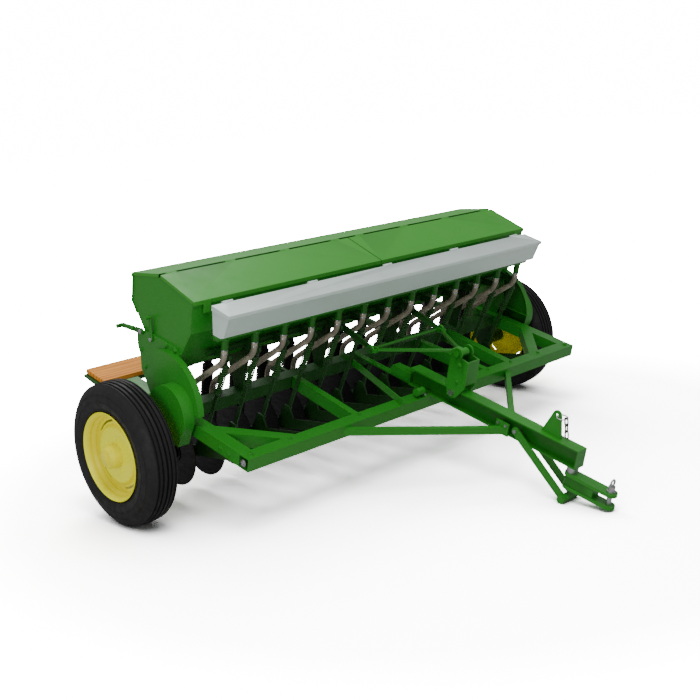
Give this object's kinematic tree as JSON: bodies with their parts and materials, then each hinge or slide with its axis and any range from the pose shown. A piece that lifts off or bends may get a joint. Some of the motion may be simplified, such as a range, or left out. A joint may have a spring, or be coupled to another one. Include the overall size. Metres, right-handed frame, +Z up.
{
  "type": "grain drill",
  "caption": "Towed end-wheel grain drill: lidded seed box, grass-seed box, drop tubes, disc openers, lift linkage, tongue with hitch.",
  "frame": {"origin": "centre of the bounding box at floor level; the machine stands on both tyres and the hitch foot", "axes": "+X to the right hand end seen from the tongue looking back, along the seed box and both wheel axes; -Y towards the hitch; +Z up, the frame pitched nose down by 14.14 degrees"},
  "size_m": [3.0476, 2.39, 1.1558],
  "materials": {
    "green_paint": "gloss enamel",
    "dark_green_paint": "gloss enamel",
    "light_green_paint": "satin enamel",
    "yellow_paint": "gloss enamel",
    "bright_metal": "bright steel",
    "dark_metal": "dull dark steel",
    "pale_paint": "satin enamel",
    "tyre": "matt rubber",
    "wood": "varnished plank",
    "tube_rubber": "matt rubber"
  },
  "bodies": {
    "frame": {"front_bar": "green_paint", "rail_left": "green_paint", "rail_right": "green_paint", "rear_cross": "green_paint", "corner_braces": "green_paint", "long_braces": "green_paint", "angle_brace": "green_paint", "axle_left": "dark_green_paint", "axle_right": "dark_green_paint", "end_plates": "dark_green_paint", "hopper_shell": "green_paint", "end_panels": "green_paint", "rear_deck": "light_green_paint", "hinge_pins": "bright_metal", "hopper_supports": "dark_green_paint", "feed_cups": "dark_metal", "grain_tubes": "tube_rubber", "grass_shell": "light_green_paint", "grass_hinges": "bright_metal", "grass_brackets": "light_green_paint", "nozzles": "dark_metal", "seed_tubes": "tube_rubber", "big_shields": "green_paint", "small_shields": "green_paint", "drag_brackets": "dark_green_paint", "drag_rod": "bright_metal", "mast_bolt": "bright_metal", "tongue": "green_paint", "tongue_braces": "green_paint", "hitch_legs": "green_paint", "frame_bolts": "bright_metal", "hitch_foot": "green_paint", "swivel_pin": "bright_metal", "roller_knob": "green_paint", "lever_pivots": "bright_metal", "footboard": "wood", "board_angle": "dark_green_paint", "board_arms": "dark_green_paint"},
    "wheel_left": {"tyre_left": "tyre", "rim_left": "yellow_paint", "hub_left": "yellow_paint"},
    "wheel_right": {"tyre_right": "tyre", "rim_right": "yellow_paint", "hub_right": "yellow_paint"},
    "lid_left": {"lid_left": "green_paint"},
    "lid_right": {"lid_right": "green_paint"},
    "grass_lid": {"grass_lid": "pale_paint"},
    "openers": {"opener_arms": "light_green_paint", "opener_boots": "dark_metal"},
    "discs": {"disc_blades": "dark_metal"},
    "press_rods": {"press_rods": "green_paint"},
    "rockshaft": {"rockshaft": "dark_green_paint"},
    "mast": {"mast": "green_paint"},
    "yoke": {"lift_yoke": "green_paint"},
    "clevis": {"clevis": "green_paint"},
    "hitch_pin": {"hitch_pin": "bright_metal"},
    "chain": {"safety_chain": "bright_metal"},
    "feed_shaft": {"feed_shaft": "bright_metal"},
    "feed_lever": {"feed_lever": "green_paint"},
    "hook_crank": {"hook_crank": "green_paint"}
  },
  "joints": [
    {"name": "wheel_left_spin", "type": "hinge", "parent": "frame", "child": "wheel_left", "pos_m": [-1.4148, 0.53912, 0.345], "axis": [1, 0, 0], "continuous": true},
    {"name": "wheel_right_spin", "type": "hinge", "parent": "frame", "child": "wheel_right", "pos_m": [1.4148, 0.53912, 0.345], "axis": [1, 0, 0], "continuous": true},
    {"name": "lid_left_open", "type": "hinge", "parent": "frame", "child": "lid_left", "pos_m": [-0.6, 0.43458, 1.14882], "axis": [-1, 0, 0], "range_deg": [0, 100]},
    {"name": "lid_right_open", "type": "hinge", "parent": "frame", "child": "lid_right", "pos_m": [0.6, 0.43458, 1.14882], "axis": [-1, 0, 0], "range_deg": [0, 100]},
    {"name": "grass_lid_open", "type": "hinge", "parent": "frame", "child": "grass_lid", "pos_m": [0, 0.14837, 1.02824], "axis": [-1, 0, 0], "range_deg": [0, 95]},
    {"name": "openers_lower", "type": "hinge", "parent": "frame", "child": "openers", "pos_m": [0, 0.0124, 0.30718], "axis": [-1, 0, 0], "range_deg": [0, 7.2]},
    {"name": "discs_spin", "type": "hinge", "parent": "openers", "child": "discs", "pos_m": [0, 0.60478, 0.2481], "axis": [1, 0, 0], "continuous": true},
    {"name": "press_rods_swing", "type": "hinge", "parent": "openers", "child": "press_rods", "pos_m": [0, 0.42682, 0.34868], "axis": [1, 0, 0], "range_deg": [0, 5.35]},
    {"name": "rockshaft_turn", "type": "hinge", "parent": "frame", "child": "rockshaft", "pos_m": [0, 0.30988, 0.77193], "axis": [1, 0, 0], "range_deg": [0, 24.55]},
    {"name": "mast_swing", "type": "hinge", "parent": "frame", "child": "mast", "pos_m": [0, -0.28226, 0.42888], "axis": [-1, 0, 0], "range_deg": [0, 21]},
    {"name": "yoke_swing", "type": "hinge", "parent": "mast", "child": "yoke", "pos_m": [0, -0.33307, 0.63058], "axis": [1, 0, 0], "range_deg": [0, 4.43]},
    {"name": "clevis_swing", "type": "hinge", "parent": "frame", "child": "clevis", "pos_m": [0, -0.94719, 0.10462], "axis": [0, -0.2443, 0.9697], "range_deg": [-20, 20]},
    {"name": "hitch_pin_lift", "type": "slide", "parent": "clevis", "child": "hitch_pin", "axis": [0, -0.2443, 0.9697], "range_m": [0, 0.13]},
    {"name": "chain_swing", "type": "hinge", "parent": "frame", "child": "chain", "pos_m": [0, -0.93195, 0.39205], "axis": [1, 0, 0], "range_deg": [-40, 6]},
    {"name": "feed_shaft_spin", "type": "hinge", "parent": "frame", "child": "feed_shaft", "pos_m": [0, 0.47734, 0.71306], "axis": [1, 0, 0], "continuous": true},
    {"name": "feed_lever_swing", "type": "hinge", "parent": "frame", "child": "feed_lever", "pos_m": [-1.205, 0.61481, 0.87144], "axis": [1, 0, 0], "range_deg": [-25, 35]},
    {"name": "hook_crank_swing", "type": "hinge", "parent": "frame", "child": "hook_crank", "pos_m": [-1.2, 0.54356, 0.83905], "axis": [1, 0, 0], "range_deg": [-20, 20]}
  ],
  "couplings": [
    {"joint": "press_rods_swing", "follows": "openers_lower", "ratio": 0.7363},
    {"joint": "rockshaft_turn", "follows": "openers_lower", "ratio": 3.4022},
    {"joint": "mast_swing", "follows": "openers_lower", "ratio": 2.909},
    {"joint": "yoke_swing", "follows": "openers_lower", "ratio": 0.6084},
    {"joint": "feed_shaft_spin", "follows": "wheel_right_spin", "ratio": 0.5}
  ]
}
